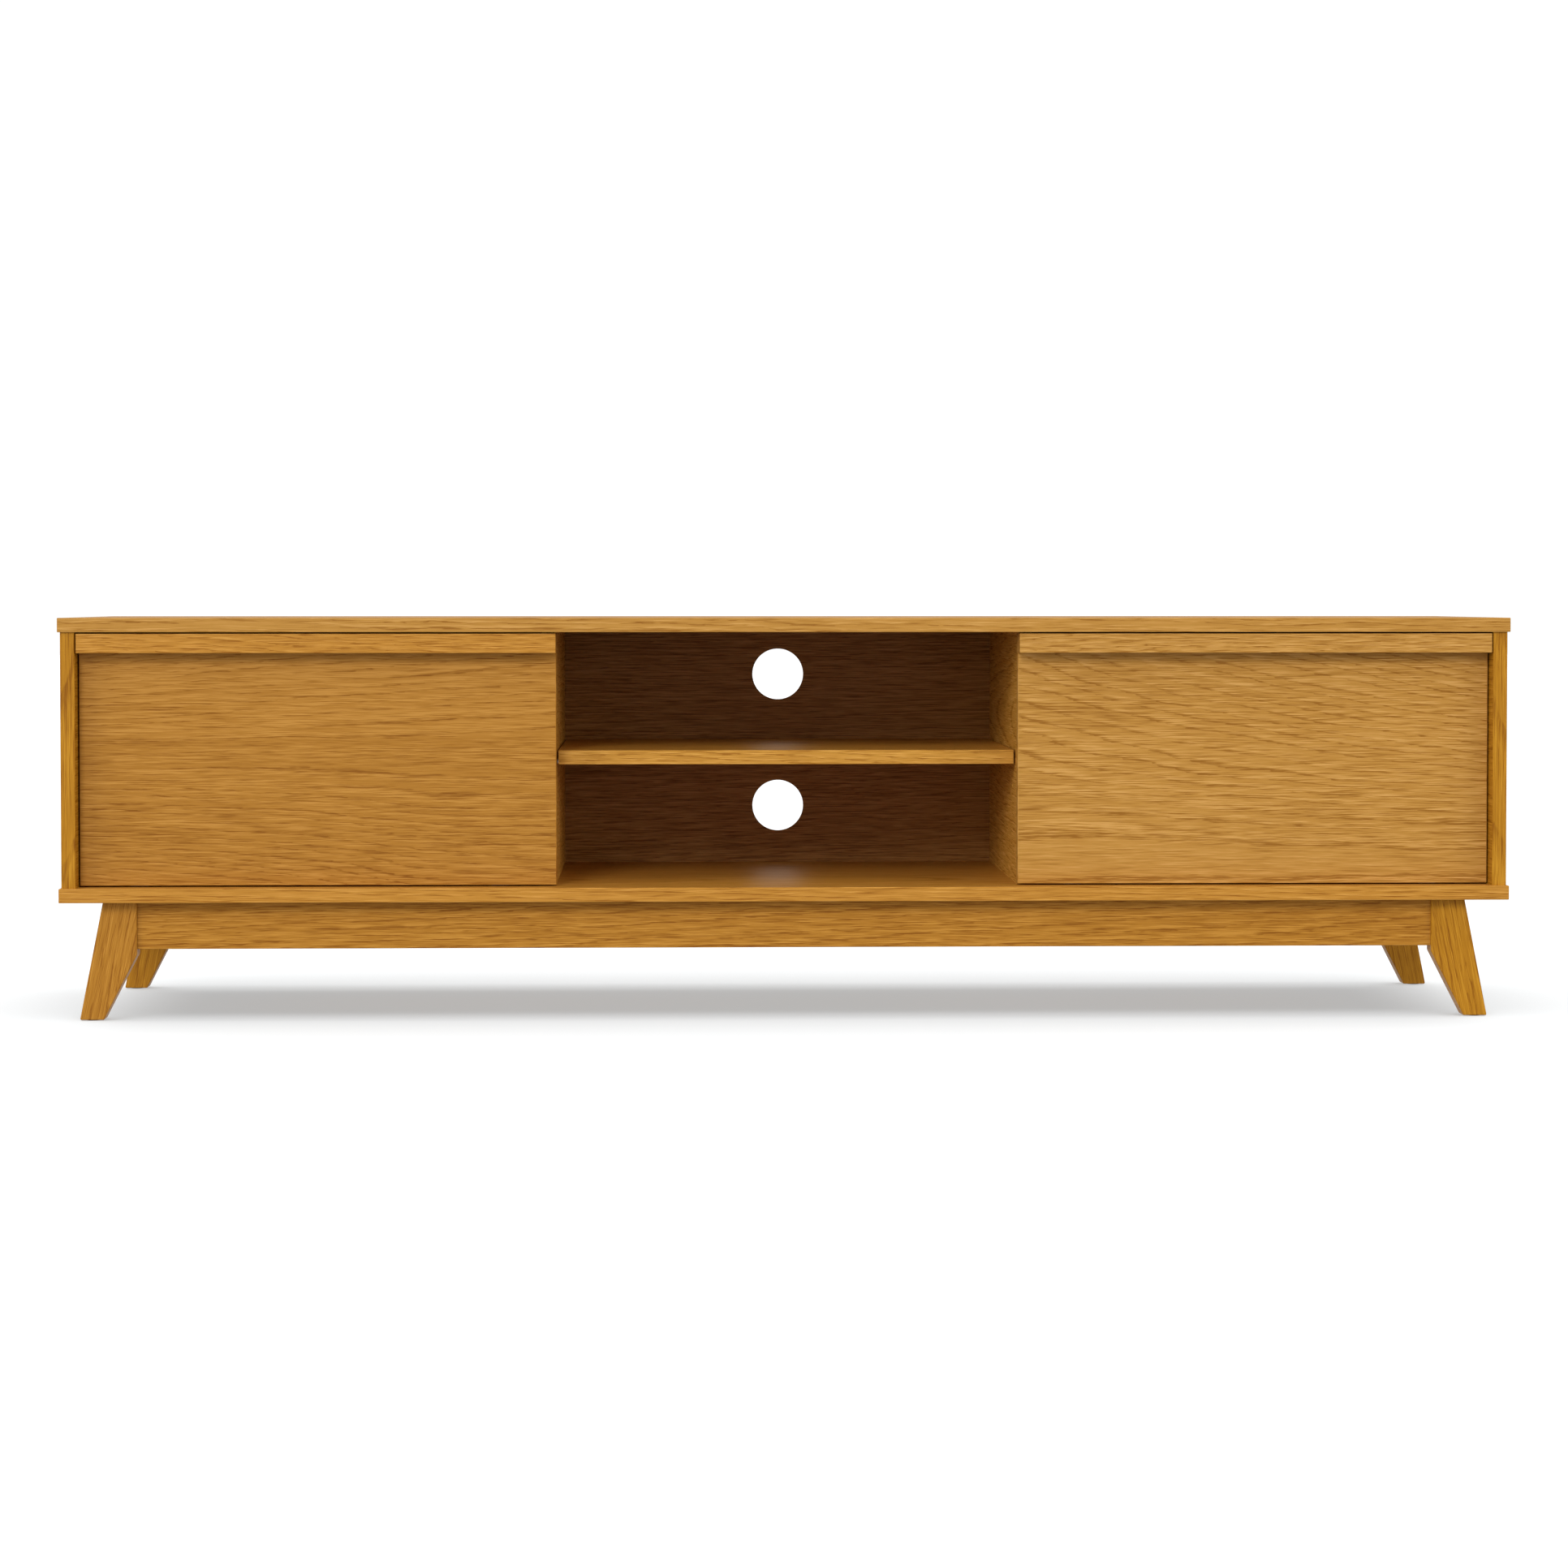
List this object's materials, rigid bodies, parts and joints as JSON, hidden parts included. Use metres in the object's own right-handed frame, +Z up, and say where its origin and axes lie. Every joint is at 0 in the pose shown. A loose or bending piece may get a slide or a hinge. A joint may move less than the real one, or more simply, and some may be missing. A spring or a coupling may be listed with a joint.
{
  "type": "media cabinet",
  "caption": "Low oak media cabinet with drop-down flaps either side of an open shelved bay with cable holes, on a splayed leg frame.",
  "frame": {"origin": "on the floor under the middle of the top board", "axes": "+X to the right seen from the front, +Y to the back, +Z up"},
  "size_m": [1.829, 0.457, 0.508],
  "materials": {
    "oak_veneer": "satin lacquered oak veneer, honey stain",
    "oak_solid": "satin lacquered solid oak, honey stain",
    "frame_pine": "raw planed softwood",
    "beech": "raw beech",
    "zinc_steel": "bright zinc plate",
    "zinc_casting": "as-cast zinc",
    "black_plastic": "moulded matt",
    "clear_rubber": "soft translucent"
  },
  "bodies": {
    "cabinet": {"top_panel": "oak_veneer", "bottom_panel": "oak_veneer", "left_side_panel": "oak_veneer", "right_side_panel": "oak_veneer", "left_divider": "oak_veneer", "right_divider": "oak_veneer", "centre_back_panel": "oak_veneer", "left_back_panel": "oak_veneer", "right_back_panel": "oak_veneer", "centre_shelf": "oak_veneer", "left_shelf": "oak_veneer", "right_shelf": "oak_veneer", "front_left_leg": "oak_solid", "rear_left_leg": "oak_solid", "front_right_leg": "oak_solid", "rear_right_leg": "oak_solid", "front_rail": "oak_solid", "rear_rail": "oak_solid", "left_side_rail": "oak_solid", "right_side_rail": "oak_solid", "corner_blocks": "frame_pine", "cross_rail": "frame_pine", "dowels": "beech", "centre_shelf_pins": "zinc_steel", "left_shelf_pins": "zinc_steel", "right_shelf_pins": "zinc_steel", "leg_bolts": "zinc_steel", "leg_washers": "zinc_steel", "leg_nuts": "zinc_steel", "frame_screws": "zinc_steel", "back_screws": "zinc_steel", "hinge_arms": "zinc_steel", "stay_wall_brackets": "zinc_steel", "cabinet_screws": "zinc_steel", "cam_bolts": "zinc_steel", "cams": "zinc_casting", "foot_glides": "black_plastic", "magnetic_catches": "black_plastic", "door_bumpers": "clear_rubber"},
    "left_flap": {"left_door": "oak_veneer", "left_pull": "oak_solid", "left_pull_screws": "zinc_steel", "left_hinge_housings": "zinc_steel", "left_hinge_pins": "zinc_steel", "left_stay_door_bracket": "zinc_steel", "left_strike_plate": "zinc_steel", "left_door_screws": "zinc_steel"},
    "right_flap": {"right_door": "oak_veneer", "right_pull": "oak_solid", "right_pull_screws": "zinc_steel", "right_hinge_housings": "zinc_steel", "right_hinge_pins": "zinc_steel", "right_stay_door_bracket": "zinc_steel", "right_strike_plate": "zinc_steel", "right_door_screws": "zinc_steel"},
    "left_tube": {"left_stay_tube": "zinc_steel"},
    "right_tube": {"right_stay_tube": "zinc_steel"},
    "left_rod": {"left_stay_rod": "zinc_steel"},
    "right_rod": {"right_stay_rod": "zinc_steel"}
  },
  "joints": [
    {"name": "left_flap_hinge", "type": "hinge", "parent": "cabinet", "child": "left_flap", "pos_m": [-0.59195, -0.1973, 0.1745], "axis": [1, 0, 0], "range_deg": [0, 90]},
    {"name": "left_tube_swing", "type": "hinge", "parent": "cabinet", "child": "left_tube", "pos_m": [-0.884, -0.04831, 0.19185], "axis": [1, 0, 0], "range_deg": [0, 45]},
    {"name": "left_rod_swing", "type": "hinge", "parent": "left_flap", "child": "left_rod", "pos_m": [-0.884, -0.1755, 0.32291], "axis": [1, 0, 0], "range_deg": [-45, 0]},
    {"name": "right_flap_hinge", "type": "hinge", "parent": "cabinet", "child": "right_flap", "pos_m": [0.59195, -0.1973, 0.1745], "axis": [1, 0, 0], "range_deg": [0, 90]},
    {"name": "right_tube_swing", "type": "hinge", "parent": "cabinet", "child": "right_tube", "pos_m": [0.884, -0.04831, 0.19185], "axis": [1, 0, 0], "range_deg": [0, 45]},
    {"name": "right_rod_swing", "type": "hinge", "parent": "right_flap", "child": "right_rod", "pos_m": [0.884, -0.1755, 0.32291], "axis": [1, 0, 0], "range_deg": [-45, 0]}
  ],
  "couplings": [
    {"joint": "left_tube_swing", "follows": "left_flap_hinge", "ratio": 0.5},
    {"joint": "left_rod_swing", "follows": "left_flap_hinge", "ratio": -0.5},
    {"joint": "right_tube_swing", "follows": "right_flap_hinge", "ratio": 0.5},
    {"joint": "right_rod_swing", "follows": "right_flap_hinge", "ratio": -0.5}
  ]
}
